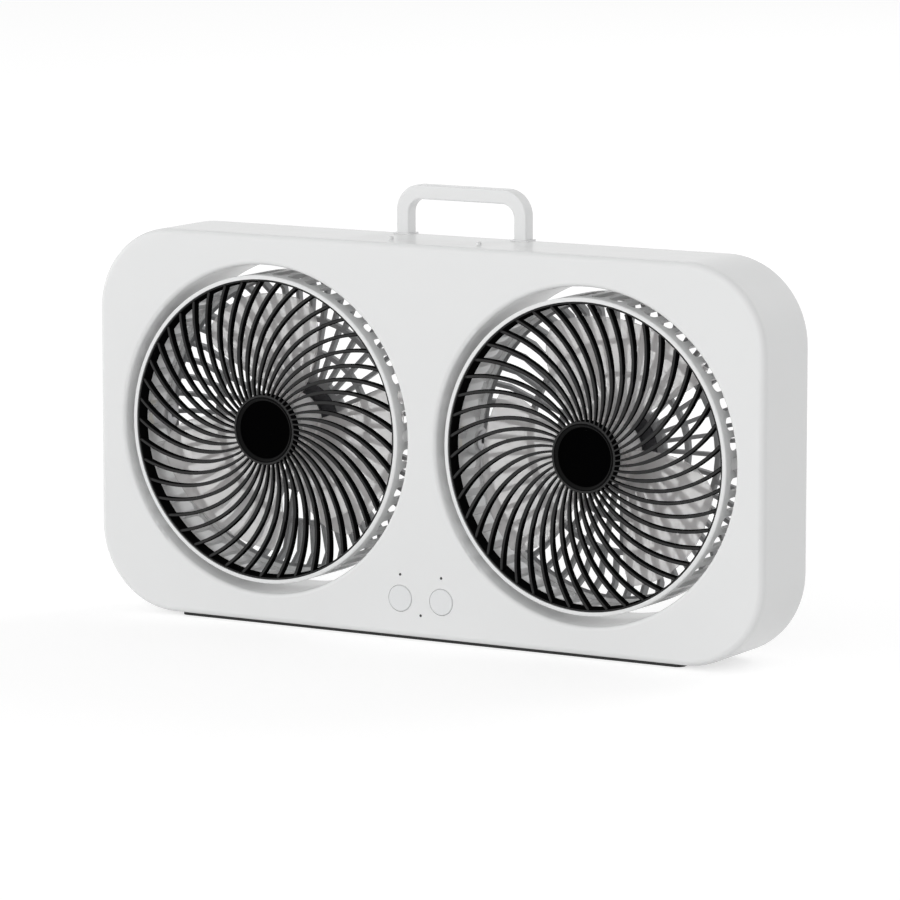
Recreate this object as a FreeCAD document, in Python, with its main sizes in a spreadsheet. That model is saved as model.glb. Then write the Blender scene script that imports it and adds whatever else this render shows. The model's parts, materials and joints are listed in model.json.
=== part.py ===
import FreeCAD, Part

import math
import os

import Sketcher

# Twin-head desk fan: a white rounded case with two tilting fan heads, a carrying handle and two buttons.
# Frame: millimetres, +Z up, X along the width, the front faces -Y, origin under the middle of the base.

doc = FreeCAD.newDocument("twin_fan")
sheet = doc.addObject("Spreadsheet::Sheet", "dims")

DIMENSIONS = {
    # Case
    "case_width": 500.0,
    "case_depth": 64.0,
    "case_height": 258.0,
    "case_corner": 56.5,
    "case_wall": 2.4,
    "front_round": 4.5,
    "rear_round": 6.0,
    "cover_depth": 8.0,
    "cover_wall": 2.0,
    "pad_height": 2.0,
    "pad_margin": 4.0,
    "pad_setback": 5.0,
    "fit_gap": 0.2,
    # Throats and trunnions
    "head_spacing": 240.8,
    "head_height": 130.5,
    "throat_radius": 109.5,
    "throat_wall": 2.2,
    "throat_round": 3.0,
    "pin_radius": 4.0,
    "pin_bore": 2.0,
    "pin_head_radius": 6.5,
    "pin_head_height": 1.5,
    "pin_gap": 0.1,
    "bush_wall": 2.2,
    "bush_flange_radius": 8.5,
    "bush_reach": 9.3,
    "seat_wall": 4.0,
    "thrust_gap": 0.3,
    # Drum of a head
    "ring_radius": 100.0,
    "ring_wall": 2.7,
    "lip_round": 0.8,
    "drum_depth": 45.0,
    "slot_count": 50,
    "slot_turn": 2.5,
    "slot_start": 7.4,
    "slot_length": 32.0,
    "slot_width": 8.4,
    "slot_corner": 3.9,
    "ledge_height": 2.5,
    "ledge_width": 1.5,
    "boss_radius": 9.0,
    "boss_height": 9.0,
    # Front grille
    "grille_setback": 0.5,
    "rim_width": 2.5,
    "rim_depth": 8.6,
    "rib_count": 45,
    "rib_width": 2.5,
    "rib_depth": 6.0,
    "rib_twist": 44.5,
    "rib_angle": 1.28,
    "window_radius": 25.5,
    "hub_radius": 23.3,
    "hub_rim": 1.7,
    "cap_depth": 3.2,
    "dish_depth": 1.8,
    "dish_edge": 0.15,
    "dish_slope": 4.0,
    # Rear guard
    "guard_distance": 52.0,
    "guard_depth": 4.5,
    "guard_lap": 3.0,
    "guard_corner": 8.0,
    "guard_rim": 2.6,
    "guard_rib_width": 2.6,
    "guard_ring_width": 3.0,
    "guard_inner_ring": 47.5,
    "guard_outer_ring": 69.2,
    "guard_hub": 30.5,
    "guard_inner_ribs": 32,
    "guard_outer_ribs": 50,
    # Motor and impeller
    "shaft_radius": 2.0,
    "motor_radius": 17.5,
    "motor_length": 24.0,
    "motor_flange": 26.0,
    "flange_thickness": 2.0,
    "motor_nose_radius": 5.0,
    "motor_nose_length": 3.0,
    "motor_tail_radius": 7.5,
    "motor_screw_circle": 22.0,
    "motor_screw_radius": 1.5,
    "cover_cap_height": 7.0,
    "cover_cap_wall": 1.8,
    "cover_slot_count": 12,
    "cover_slot_inner": 11.0,
    "cover_slot_length": 9.5,
    "cover_slot_width": 2.2,
    "cover_slot_corner": 1.0,
    "impeller_hub_radius": 21.5,
    "impeller_wall": 2.2,
    "impeller_front": 12.5,
    "impeller_depth": 27.0,
    "impeller_boss": 5.0,
    "impeller_boss_length": 7.0,
    "tip_radius": 89.0,
    "blade_count": 3,
    "blade_span": 84.0,
    "blade_sweep": 16.0,
    "blade_root_rise": 20.0,
    "blade_tip_rise": 27.0,
    "blade_camber": 3.0,
    "blade_tip_trim": 0.18,
    "blade_thickness": 1.8,
    "nut_radius": 4.2,
    "nut_height": 3.2,
    # Handle
    "handle_width": 98.0,
    "handle_rise": 33.0,
    "handle_bar": 9.5,
    "handle_leg": 9.4,
    "handle_thickness": 10.0,
    "handle_corner": 17.3,
    "handle_inner_corner": 9.3,
    "handle_edge": 1.2,
    "handle_engagement": 19.0,
    "catch_height": 3.4,
    "catch_width": 1.2,
    "sleeve_wall": 1.4,
    "sleeve_collar": 0.8,
    "sleeve_flange": 2.4,
    "sleeve_flange_height": 1.6,
    # Studs on the top
    "stud_spacing": 66.0,
    "stud_distance": 18.0,
    "stud_radius": 1.8,
    "stud_height": 2.5,
    "stud_peg_radius": 1.2,
    "stud_peg_length": 1.6,
    # Controls
    "button_spacing": 31.0,
    "button_drop": 103.2,
    "button_radius": 8.6,
    "button_gap": 0.3,
    "button_proud": 0.5,
    "button_edge": 0.5,
    "button_travel": 1.2,
    "button_flange": 1.4,
    "button_flange_height": 1.2,
    "button_stem_radius": 2.5,
    "button_stem_length": 6.9,
    "lamp_radius": 0.9,
    "lamp_play": 0.05,
    "lamp_drop": 87.4,
    "middle_lamp_drop": 113.4,
    "lamp_flange": 0.9,
    "board_width": 64.0,
    "board_height": 44.0,
    "board_thickness": 1.6,
    "board_distance": 16.0,
    "board_drop": 99.5,
    "board_post_radius": 3.0,
    "board_post_inset": 5.0,
    "board_peg_radius": 1.4,
    "board_peg_length": 2.4,
    "switch_size": 6.0,
    "switch_height": 3.4,
    "plunger_radius": 1.7,
    # Battery and charging
    "cell_radius": 9.0,
    "cell_length": 65.0,
    "cell_gap": 0.4,
    "cell_front": 20.0,
    "tray_floor": 1.2,
    "tray_wall": 1.4,
    "tray_height": 8.0,
    "socket_width": 8.9,
    "socket_height": 3.2,
    "socket_wall": 0.4,
    "socket_depth": 7.4,
    "inlet_drop": 78.0,
    "charge_board_width": 24.0,
    "charge_board_length": 22.0,
    "rail_width": 3.0,
    # Fasteners
    "screw_radius": 1.5,
    "screw_head_radius": 3.0,
    "screw_head_height": 2.4,
    "recess_arm": 1.7,
    "recess_width": 0.9,
    "recess_depth": 1.1,
    "screw_length": 14.0,
    "screw_play": 0.1,
    "post_radius": 4.2,
    "corner_post_x": 222.0,
    "corner_post_z": 100.0,
    "middle_post_z": 58.0,
}

# Straight spans that follow each spiral rib of the front grille.
RIB_SPANS = 4
# Stations across and along a blade.
BLADE_CHORD_STATIONS = 7
BLADE_RADIUS_STATIONS = 5
# How late towards the tip a blade is trimmed: a higher power keeps it wide for longer.
BLADE_TRIM_POWER = 6


class Size:
    """A number kept together with the sheet formula that gives it."""

    def __init__(self, number, formula):
        self.number = number
        self.formula = formula

    def __add__(self, other):
        other = as_size(other)
        return Size(self.number + other.number, f"({self.formula} + {other.formula})")

    def __radd__(self, other):
        return as_size(other) + self

    def __sub__(self, other):
        other = as_size(other)
        return Size(self.number - other.number, f"({self.formula} - {other.formula})")

    def __rsub__(self, other):
        return as_size(other) - self

    def __mul__(self, other):
        other = as_size(other)
        return Size(self.number * other.number, f"({self.formula} * {other.formula})")

    def __rmul__(self, other):
        return as_size(other) * self

    def __truediv__(self, other):
        other = as_size(other)
        return Size(self.number / other.number, f"({self.formula} / {other.formula})")

    def __rtruediv__(self, other):
        return as_size(other) / self

    def __neg__(self):
        return Size(-self.number, f"(0 - {self.formula})")

    def root(self):
        return Size(math.sqrt(self.number), f"sqrt({self.formula})")

    def cosine(self):
        return Size(math.cos(math.radians(self.number)), f"cos({self.formula})")

    def sine(self):
        return Size(math.sin(math.radians(self.number)), f"sin({self.formula})")


def as_size(value):
    if isinstance(value, Size):
        return value
    return Size(float(value), f"({float(value)})")


class Dimensions:
    """The driving dimensions, each readable by its name as a Size."""

    def __getattr__(self, name):
        return Size(float(sheet.get(name)), f"dims.{name}")


def fill_sheet():
    for row, (name, value) in enumerate(DIMENSIONS.items(), start=1):
        sheet.set(f"A{row}", name)
        sheet.set(f"B{row}", str(value))
        sheet.setAlias(f"B{row}", name)
    doc.recompute()


fill_sheet()
d = Dimensions()

# Places that several pieces share
front_y = -(d.case_depth / 2)
rear_y = d.case_depth / 2
split_y = rear_y - d.cover_depth
inner_front_y = front_y + d.case_wall
inner_rear_y = rear_y - d.cover_wall
case_bottom = d.pad_height
case_top = d.pad_height + d.case_height
inner_bottom = case_bottom + d.case_wall
inner_top = case_top - d.case_wall
half_spacing = d.head_spacing / 2
tube_radius = d.throat_radius + d.throat_wall
drum_radius = d.ring_radius + d.ring_wall
drum_rear_y = front_y + d.drum_depth
guard_front_y = front_y + d.guard_distance
guard_rear_y = guard_front_y + d.guard_depth
boss_face = drum_radius - d.fit_gap
bush_radius = d.pin_radius + d.pin_gap + d.bush_wall
bush_end = d.throat_radius + d.bush_reach
seat_radius = bush_radius + d.seat_wall
grille_y = front_y + d.grille_setback
leg_center = (d.handle_width - d.handle_leg) / 2
handle_rear_y = inner_rear_y - d.fit_gap
handle_front_y = handle_rear_y - d.handle_thickness
button_z = d.head_height - d.button_drop
board_y = front_y + d.board_distance
board_z = d.head_height - d.board_drop
inlet_z = d.head_height - d.inlet_drop
head_places = [(-half_spacing, d.head_height), (half_spacing, d.head_height)]
post_places = [
    (side * d.corner_post_x, d.head_height + up * d.corner_post_z) for side in (-1, 1) for up in (-1, 1)
] + [(0.0, d.head_height + up * d.middle_post_z) for up in (-1, 1)]
board_post_x = d.board_width / 2 - d.board_post_inset
board_post_rise = d.board_height / 2 - d.board_post_inset
board_post_places = [
    (side * board_post_x, board_z + up * board_post_rise) for side in (-1, 1) for up in (-1, 1)
]
button_places = [(side * d.button_spacing / 2, button_z) for side in (-1, 1)]
lamp_places = [(side * d.button_spacing / 2, d.head_height - d.lamp_drop) for side in (-1, 1)]
lamp_places.append((0.0, d.head_height - d.middle_lamp_drop))


def new_body(label):
    body = doc.addObject("PartDesign::Body", "Body_" + label)
    body.Label = label
    body.AllowCompound = True
    return body


def origin_feature(body, role):
    return next(f for f in body.Origin.OriginFeatures if f.Role == role)


def new_sketch(body, plane, at=0.0):
    """A sketch on an origin plane, moved to a coordinate along that plane's axis (XZ: y, XY: z, YZ: x)."""
    sketch = body.newObject("Sketcher::SketchObject", "Sketch_" + body.Label)
    sketch.AttachmentSupport = [(origin_feature(body, plane + "_Plane"), "")]
    sketch.MapMode = "FlatFace"
    along = -as_size(at) if plane == "XZ" else as_size(at)
    sketch.setExpression("AttachmentOffset.Base.z", along.formula)
    return sketch


def turn_about_axis(sketch, radius, angle):
    """Carry a sketch that lies over the fan axis round it, clockwise seen from the front."""
    turned = FreeCAD.Rotation(FreeCAD.Vector(0, 1, 0), angle.number)
    sketch.AttachmentOffset = FreeCAD.Placement(FreeCAD.Vector(0, 0, 0), turned)
    sketch.setExpression("AttachmentOffset.Base.x", (radius * angle.sine()).formula)
    sketch.setExpression("AttachmentOffset.Base.z", (radius * angle.cosine()).formula)
    sketch.setExpression("AttachmentOffset.Rotation.Angle", angle.formula)


def bind(sketch, constraint, size):
    sketch.setExpression(f"Constraints[{constraint}]", size.formula)


def pin_point(sketch, geometry, vertex, x, y):
    """Fix one point of a sketch at two sheet formulas."""
    for kind, size in (("DistanceX", as_size(x)), ("DistanceY", as_size(y))):
        rule = Sketcher.Constraint(kind, -1, 1, geometry, vertex, size.number)
        bind(sketch, sketch.addConstraint(rule), size)


def vector(x, y):
    return FreeCAD.Vector(as_size(x).number, as_size(y).number, 0)


def add_circles(sketch, places, radius):
    for x, y in places:
        circle = sketch.addGeometry(
            Part.Circle(vector(x, y), FreeCAD.Vector(0, 0, 1), as_size(radius).number), False
        )
        pin_point(sketch, circle, 3, x, y)
        size = as_size(radius)
        bind(sketch, sketch.addConstraint(Sketcher.Constraint("Radius", circle, size.number)), size)


def add_polygon(sketch, points):
    first = sketch.GeometryCount
    count = len(points)
    for i in range(count):
        line = Part.LineSegment(vector(*points[i]), vector(*points[(i + 1) % count]))
        sketch.addGeometry(line, False)
    for i in range(count):
        following = first + (i + 1) % count
        sketch.addConstraint(Sketcher.Constraint("Coincident", first + i, 2, following, 1))
        pin_point(sketch, first + i, 1, *points[i])


def add_box(sketch, x0, x1, y0, y1):
    add_polygon(sketch, [(x0, y0), (x1, y0), (x1, y1), (x0, y1)])


def add_round_box(sketch, x0, x1, y0, y1, radius):
    """A rectangle with four equal round corners."""
    x0, x1, y0, y1, radius = (as_size(v) for v in (x0, x1, y0, y1, radius))
    left, right, low, high, r = x0.number, x1.number, y0.number, y1.number, radius.number
    first = sketch.GeometryCount
    sides = [
        ((left + r, low), (right - r, low)),
        ((right, low + r), (right, high - r)),
        ((right - r, high), (left + r, high)),
        ((left, high - r), (left, low + r)),
    ]
    corners = [
        (right - r, low + r, -90),
        (right - r, high - r, 0),
        (left + r, high - r, 90),
        (left + r, low + r, 180),
    ]
    for start, end in sides:
        sketch.addGeometry(Part.LineSegment(FreeCAD.Vector(*start, 0), FreeCAD.Vector(*end, 0)), False)
    for x, y, angle in corners:
        circle = Part.Circle(FreeCAD.Vector(x, y, 0), FreeCAD.Vector(0, 0, 1), r)
        sketch.addGeometry(Part.ArcOfCircle(circle, math.radians(angle), math.radians(angle + 90)), False)
    for i in range(4):
        line, arc, following = first + i, first + 4 + i, first + (i + 1) % 4
        sketch.addConstraint(Sketcher.Constraint("Tangent", line, 2, arc, 1))
        sketch.addConstraint(Sketcher.Constraint("Tangent", arc, 2, following, 1))
        sketch.addConstraint(Sketcher.Constraint("Horizontal" if i % 2 == 0 else "Vertical", line))
    for i in range(1, 4):
        sketch.addConstraint(Sketcher.Constraint("Equal", first + 4, first + 4 + i))
    limits = [("DistanceY", 0, y0), ("DistanceX", 1, x1), ("DistanceY", 2, y1), ("DistanceX", 3, x0)]
    for kind, side, size in limits:
        rule = Sketcher.Constraint(kind, -1, 1, first + side, 1, size.number)
        bind(sketch, sketch.addConstraint(rule), size)
    bind(sketch, sketch.addConstraint(Sketcher.Constraint("Radius", first + 4, r)), radius)


def extrude(kind, body, sketch, length, flip):
    feature = body.newObject("PartDesign::" + kind, kind + "_" + body.Label)
    feature.Profile = sketch
    feature.Reversed = flip
    feature.setExpression("Length", as_size(length).formula)
    return feature


def pad(body, sketch, length, flip=False):
    """Add material: along +X, +Z or -Y by the sketch's plane, or the other way when flipped."""
    return extrude("Pad", body, sketch, length, flip)


def pocket(body, sketch, length, flip=False):
    """Cut material: along -X, -Z or +Y by the sketch's plane, or the other way when flipped."""
    return extrude("Pocket", body, sketch, length, flip)


def revolve(body, points, axis="Y"):
    """Turn a profile, given as (radius, y) pairs in the XY plane, or (y, radius) pairs about X."""
    sketch = new_sketch(body, "XY")
    add_polygon(sketch, points)
    feature = body.newObject("PartDesign::Revolution", "Turn_" + body.Label)
    feature.Profile = sketch
    feature.ReferenceAxis = (origin_feature(body, axis + "_Axis"), [""])
    feature.Angle = 360.0
    return feature


def around_axis(body, features, count):
    """Repeat features round the head's axis, which is Y."""
    pattern = body.newObject("PartDesign::PolarPattern", "Ring_" + body.Label)
    pattern.Originals = features
    pattern.Axis = (origin_feature(body, "Y_Axis"), [""])
    pattern.Angle = 360.0
    pattern.setExpression("Occurrences", count.formula)
    body.Tip = pattern
    return pattern


def mirrored(body, features):
    """Repeat features on the other side of the middle plane."""
    feature = body.newObject("PartDesign::Mirrored", "Mirror_" + body.Label)
    feature.Originals = features
    feature.MirrorPlane = (origin_feature(body, "YZ_Plane"), [""])
    body.Tip = feature
    return feature


def fillet(body, radius, chosen):
    """Round the edges of the body's present shape for which chosen(edge) is true."""
    doc.recompute()
    base = body.Tip
    names = [f"Edge{i}" for i, edge in enumerate(base.Shape.Edges, start=1) if chosen(edge)]
    if not names:
        raise RuntimeError(f"{body.Label}: no edge to round")
    feature = body.newObject("PartDesign::Fillet", "Round_" + body.Label)
    feature.Base = (base, names)
    feature.setExpression("Radius", as_size(radius).formula)
    return feature


def lies_at_y(edge, y):
    box = edge.BoundBox
    return abs(box.YMin - as_size(y).number) < 1e-4 and abs(box.YMax - as_size(y).number) < 1e-4


def is_circle(edge, radius):
    return isinstance(edge.Curve, Part.Circle) and abs(edge.Curve.Radius - as_size(radius).number) < 1e-4


def place(thing, x, y, z):
    for name, value in (("x", x), ("y", y), ("z", z)):
        thing.setExpression(f"Placement.Base.{name}", as_size(value).formula)


def add_case_outline(sketch, inset):
    add_round_box(
        sketch,
        inset - d.case_width / 2,
        d.case_width / 2 - inset,
        case_bottom + inset,
        case_top - inset,
        d.case_corner - inset,
    )


def add_handle_slots(body):
    """Two openings in the top through which the handle's legs and sleeves pass."""
    sketch = new_sketch(body, "XY", case_top)
    reach = d.handle_leg / 2 + d.fit_gap + d.sleeve_wall + d.fit_gap
    for side in (-1, 1):
        low, high = sorted((side * leg_center - reach, side * leg_center + reach), key=lambda v: v.number)
        add_box(sketch, low, high, handle_front_y - d.fit_gap * 2 - d.sleeve_wall, inner_rear_y)
    pocket(body, sketch, d.rear_round * 2)


def make_front_housing():
    body = new_body("front_housing")
    sketch = new_sketch(body, "XZ", split_y)
    add_case_outline(sketch, as_size(0))
    pad(body, sketch, split_y - front_y)
    fillet(body, d.front_round, lambda edge: lies_at_y(edge, front_y))
    sketch = new_sketch(body, "XZ", split_y)
    add_case_outline(sketch, d.case_wall)
    add_circles(sketch, head_places, tube_radius)
    pocket(body, sketch, split_y - inner_front_y, flip=True)
    sketch = new_sketch(body, "XZ", split_y)
    add_circles(sketch, head_places, d.throat_radius)
    pocket(body, sketch, split_y - front_y, flip=True)
    fillet(body, d.throat_round, lambda e: is_circle(e, d.throat_radius) and lies_at_y(e, front_y))
    # Screw posts and board posts
    sketch = new_sketch(body, "XZ", split_y)
    add_circles(sketch, post_places, d.post_radius)
    pad(body, sketch, split_y - inner_front_y + d.case_wall / 2)
    sketch = new_sketch(body, "XZ", split_y)
    add_circles(sketch, post_places, d.screw_radius + d.screw_play)
    pocket(body, sketch, d.screw_length, flip=True)
    sketch = new_sketch(body, "XZ", board_y)
    add_circles(sketch, board_post_places, d.board_post_radius)
    pad(body, sketch, board_y - inner_front_y + d.case_wall / 2)
    sketch = new_sketch(body, "XZ", board_y + d.board_peg_length)
    add_circles(sketch, board_post_places, d.board_peg_radius)
    pad(body, sketch, d.board_peg_length + d.board_peg_radius)
    # Trunnion seats between the throats and at their outer sides
    seats = []
    for start in (-half_spacing - bush_end, bush_end - half_spacing):
        inner = start.number > -half_spacing.number
        sketch = new_sketch(body, "YZ", start)
        add_circles(sketch, [(0.0, d.head_height)], seat_radius)
        seats.append(pad(body, sketch, d.bush_reach - d.throat_wall / 3, flip=inner))
    mirrored(body, seats)
    sketch = new_sketch(body, "YZ", half_spacing + bush_end)
    add_circles(sketch, [(0.0, d.head_height)], bush_radius + d.pin_gap / 2)
    pocket(body, sketch, 2 * (half_spacing + bush_end))
    # Holes for buttons, lamps, studs and the handle
    sketch = new_sketch(body, "XZ", inner_front_y)
    add_circles(sketch, button_places, d.button_radius + d.button_gap)
    add_circles(sketch, lamp_places, d.lamp_radius + d.lamp_play)
    pocket(body, sketch, d.case_wall, flip=True)
    sketch = new_sketch(body, "XY", case_top)
    stud_places = [(side * d.stud_spacing / 2, front_y + d.stud_distance) for side in (-1, 1)]
    add_circles(sketch, stud_places, d.stud_peg_radius + d.lamp_play)
    pocket(body, sketch, d.stud_peg_length)
    add_handle_slots(body)
    return body


def make_rear_cover():
    body = new_body("rear_cover")
    sketch = new_sketch(body, "XZ", rear_y)
    add_case_outline(sketch, as_size(0))
    pad(body, sketch, d.cover_depth)
    fillet(body, d.rear_round, lambda edge: lies_at_y(edge, rear_y))
    sketch = new_sketch(body, "XZ", split_y)
    add_case_outline(sketch, d.case_wall)
    add_circles(sketch, head_places, tube_radius)
    pocket(body, sketch, d.cover_depth - d.cover_wall)
    sketch = new_sketch(body, "XZ", split_y)
    add_circles(sketch, head_places, d.throat_radius)
    pocket(body, sketch, d.cover_depth)
    fillet(body, d.throat_round, lambda e: is_circle(e, d.throat_radius) and lies_at_y(e, rear_y))
    # Wells that sink the screw heads
    well_radius = d.screw_head_radius + d.fit_gap
    sketch = new_sketch(body, "XZ", rear_y - d.cover_wall / 2)
    add_circles(sketch, post_places, well_radius + d.cover_wall)
    pad(body, sketch, d.cover_depth - d.cover_wall / 2)
    sketch = new_sketch(body, "XZ", split_y + d.cover_wall)
    add_circles(sketch, post_places, well_radius)
    pocket(body, sketch, d.cover_depth)
    sketch = new_sketch(body, "XZ", split_y)
    add_circles(sketch, post_places, d.screw_radius + d.screw_play)
    pocket(body, sketch, d.cover_depth)
    # Charging opening and the two rails that carry its board
    sketch = new_sketch(body, "XZ", inner_rear_y)
    add_round_box(
        sketch,
        -(d.socket_width / 2 + d.fit_gap),
        d.socket_width / 2 + d.fit_gap,
        inlet_z - d.socket_height / 2 - d.fit_gap,
        inlet_z + d.socket_height / 2 + d.fit_gap,
        d.socket_height / 2,
    )
    pocket(body, sketch, d.cover_wall)
    sketch = new_sketch(body, "XZ", rear_y - d.cover_wall / 2)
    rail_top = inlet_z - d.socket_height / 2 - d.board_thickness
    rail_out = d.charge_board_width / 2
    for x0, x1 in ((-rail_out, d.rail_width - rail_out), (rail_out - d.rail_width, rail_out)):
        add_box(sketch, x0, x1, rail_top - d.rail_width, rail_top)
    pad(body, sketch, d.charge_board_length)
    add_handle_slots(body)
    return body


def make_base_pad():
    body = new_body("base_pad")
    sketch = new_sketch(body, "XY", 0.0)
    half_length = d.case_width / 2 - d.case_corner - d.pad_margin
    half_width = d.case_depth / 2 - d.pad_setback
    add_round_box(sketch, -half_length, half_length, -half_width, half_width, d.pad_setback)
    pad(body, sketch, d.pad_height)
    return body


def cross_outline(x, y):
    """Outline of a cross recess about a point."""
    arm = d.recess_arm
    half = d.recess_width / 2
    corners = [
        (half, arm),
        (half, half),
        (arm, half),
        (arm, -half),
        (half, -half),
        (half, -arm),
        (-half, -arm),
        (-half, -half),
        (-arm, -half),
        (-arm, half),
        (-half, half),
        (-half, arm),
    ]
    return [(x + across, y + along) for across, along in corners]


def make_housing_screws():
    """Six screws with cross recesses, in the wells of the rear cover."""
    body = new_body("housing_screws")
    seat_y = split_y + d.cover_wall
    sketch = new_sketch(body, "XZ", seat_y)
    add_circles(sketch, post_places, d.screw_head_radius)
    pad(body, sketch, d.screw_head_height, flip=True)
    sketch = new_sketch(body, "XZ", seat_y)
    add_circles(sketch, post_places, d.screw_radius)
    pad(body, sketch, d.screw_length)
    sketch = new_sketch(body, "XZ", seat_y + d.screw_head_height)
    for x, z in post_places:
        add_polygon(sketch, cross_outline(x, z))
    pocket(body, sketch, d.recess_depth, flip=True)
    return body


def make_top_studs():
    body = new_body("top_studs")
    places = [(side * d.stud_spacing / 2, front_y + d.stud_distance) for side in (-1, 1)]
    sketch = new_sketch(body, "XY", case_top)
    add_circles(sketch, places, d.stud_radius)
    pad(body, sketch, d.stud_height)
    top = case_top + d.stud_height
    fillet(body, d.stud_radius / 2, lambda e: abs(e.BoundBox.ZMin - top.number) < 1e-4)
    sketch = new_sketch(body, "XY", case_top)
    add_circles(sketch, places, d.stud_peg_radius)
    pad(body, sketch, d.stud_peg_length, flip=True)
    return body


def make_handle():
    body = new_body("handle")
    half = d.handle_width / 2
    inner = half - d.handle_leg
    foot = case_top - d.handle_engagement
    head = case_top + d.handle_rise
    under = head - d.handle_bar
    outline = [
        (-half, foot), (-inner, foot), (-inner, under), (inner, under),
        (inner, foot), (half, foot), (half, head), (-half, head),
    ]
    sketch = new_sketch(body, "XZ", handle_rear_y)
    add_polygon(sketch, outline)
    pad(body, sketch, d.handle_thickness)

    def corner(z):
        return lambda e: (
            e.BoundBox.YLength > d.handle_thickness.number / 2 and abs(e.BoundBox.ZMin - z.number) < 1e-4
        )

    fillet(body, d.handle_corner, corner(head))
    fillet(body, d.handle_inner_corner, corner(under))
    fillet(
        body,
        d.handle_edge,
        lambda e: (lies_at_y(e, handle_front_y) or lies_at_y(e, handle_rear_y))
        and e.BoundBox.ZMax > foot.number + d.handle_edge.number,
    )
    # Catches that lock the legs under their sleeves
    sketch = new_sketch(body, "XY", foot)
    for side in (-1, 1):
        reach = d.handle_leg / 2 + d.catch_width
        middle = side * leg_center
        add_box(
            sketch,
            middle - reach,
            middle + reach,
            handle_front_y + d.handle_edge,
            handle_rear_y - d.handle_edge,
        )
    pad(body, sketch, d.catch_height)
    return body


def make_handle_sleeves():
    body = new_body("handle_sleeves")
    wall_front = handle_front_y - d.fit_gap - d.sleeve_wall
    sleeve_foot = case_top - d.handle_engagement + d.catch_height + d.fit_gap
    hole = d.handle_leg / 2 + d.fit_gap
    wall = hole + d.sleeve_wall
    sketch = new_sketch(body, "XY", sleeve_foot)
    rim = new_sketch(body, "XY", inner_top - d.fit_gap / 2)
    for side in (-1, 1):
        middle = side * leg_center
        for shape, out, front in (
            (sketch, wall, wall_front),
            (rim, wall + d.sleeve_flange, wall_front - d.sleeve_flange),
        ):
            rear = inner_rear_y - d.fit_gap / 2 if shape is sketch else split_y - d.fit_gap
            outer_points = [
                (middle - out, rear),
                (middle - out, front),
                (middle + out, front),
                (middle + out, rear),
            ]
            inner_points = [
                (middle + hole, rear),
                (middle + hole, handle_front_y - d.fit_gap),
                (middle - hole, handle_front_y - d.fit_gap),
                (middle - hole, rear),
            ]
            add_polygon(shape, outer_points + inner_points)
    pad(body, sketch, case_top + d.sleeve_collar - sleeve_foot)
    pad(body, rim, d.sleeve_flange_height, flip=True)
    return body


def make_button(label, side):
    body = new_body(label)
    r = d.button_radius
    shoulder = d.case_wall
    flange_back = shoulder + d.button_flange_height
    revolve(
        body,
        [
            (0.0, -d.button_proud),
            (r - d.button_edge, -d.button_proud),
            (r, d.button_edge - d.button_proud),
            (r, shoulder),
            (r + d.button_flange, shoulder),
            (r + d.button_flange, flange_back),
            (d.button_stem_radius, flange_back),
            (d.button_stem_radius, flange_back + d.button_stem_length),
            (0.0, flange_back + d.button_stem_length),
        ],
    )
    place(body, side * d.button_spacing / 2, front_y, button_z)
    return body


def make_control_board():
    body = new_body("control_board")
    sketch = new_sketch(body, "XZ", board_y)
    add_box(
        sketch,
        -d.board_width / 2,
        d.board_width / 2,
        board_z - d.board_height / 2,
        board_z + d.board_height / 2,
    )
    add_circles(sketch, board_post_places, d.board_peg_radius + d.screw_play)
    pad(body, sketch, d.board_thickness, flip=True)
    return body


def make_button_switches():
    """Two switches on the board; their plungers wait just behind the buttons' stems."""
    body = new_body("button_switches")
    stem_end = front_y + d.case_wall + d.button_flange_height + d.button_stem_length
    plunger_tip = stem_end + d.button_travel + d.fit_gap / 2
    body_front = board_y - d.switch_height
    half = d.switch_size / 2
    sketch = new_sketch(body, "XZ", board_y)
    for x, z in button_places:
        add_box(sketch, x - half, x + half, z - half, z + half)
    pad(body, sketch, d.switch_height)
    sketch = new_sketch(body, "XZ", body_front)
    add_circles(sketch, button_places, d.plunger_radius)
    pad(body, sketch, body_front - plunger_tip)
    return body


def make_indicator_lights():
    """Three thin light guides from the board to the front face."""
    body = new_body("indicator_lights")
    sketch = new_sketch(body, "XZ", board_y - d.fit_gap / 2)
    add_circles(sketch, lamp_places, d.lamp_radius)
    pad(body, sketch, d.board_distance - d.fit_gap / 2)
    sketch = new_sketch(body, "XZ", inner_front_y)
    add_circles(sketch, lamp_places, d.lamp_radius + d.lamp_flange)
    pad(body, sketch, d.lamp_flange, flip=True)
    return body


cell_rows = [
    front_y + d.cell_front + d.cell_radius,
    front_y + d.cell_front + 3 * d.cell_radius + d.cell_gap,
]
cell_z = inner_bottom + d.tray_floor + d.cell_gap / 2 + d.cell_radius
tray_half_length = d.cell_length + d.cell_gap + d.tray_wall


def make_battery_cells():
    body = new_body("battery_cells")
    for side in (-1, 1):
        sketch = new_sketch(body, "YZ", side * d.cell_gap / 2)
        add_circles(sketch, [(row, cell_z) for row in cell_rows], d.cell_radius)
        pad(body, sketch, d.cell_length, flip=side < 0)
    return body


def make_battery_tray():
    """A trough with a floor and two end walls under the cells."""
    body = new_body("battery_tray")
    front = cell_rows[0] - d.cell_radius / 2
    rear = cell_rows[1] + d.cell_radius / 2
    wall_top = inner_bottom + d.tray_height
    floor_top = inner_bottom + d.tray_floor
    inside = tray_half_length - d.tray_wall
    outline = [
        (-tray_half_length, inner_bottom), (tray_half_length, inner_bottom), (tray_half_length, wall_top),
        (inside, wall_top), (inside, floor_top), (-inside, floor_top),
        (-inside, wall_top), (-tray_half_length, wall_top),
    ]
    sketch = new_sketch(body, "XZ", rear)
    add_polygon(sketch, outline)
    pad(body, sketch, rear - front)
    return body


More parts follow.
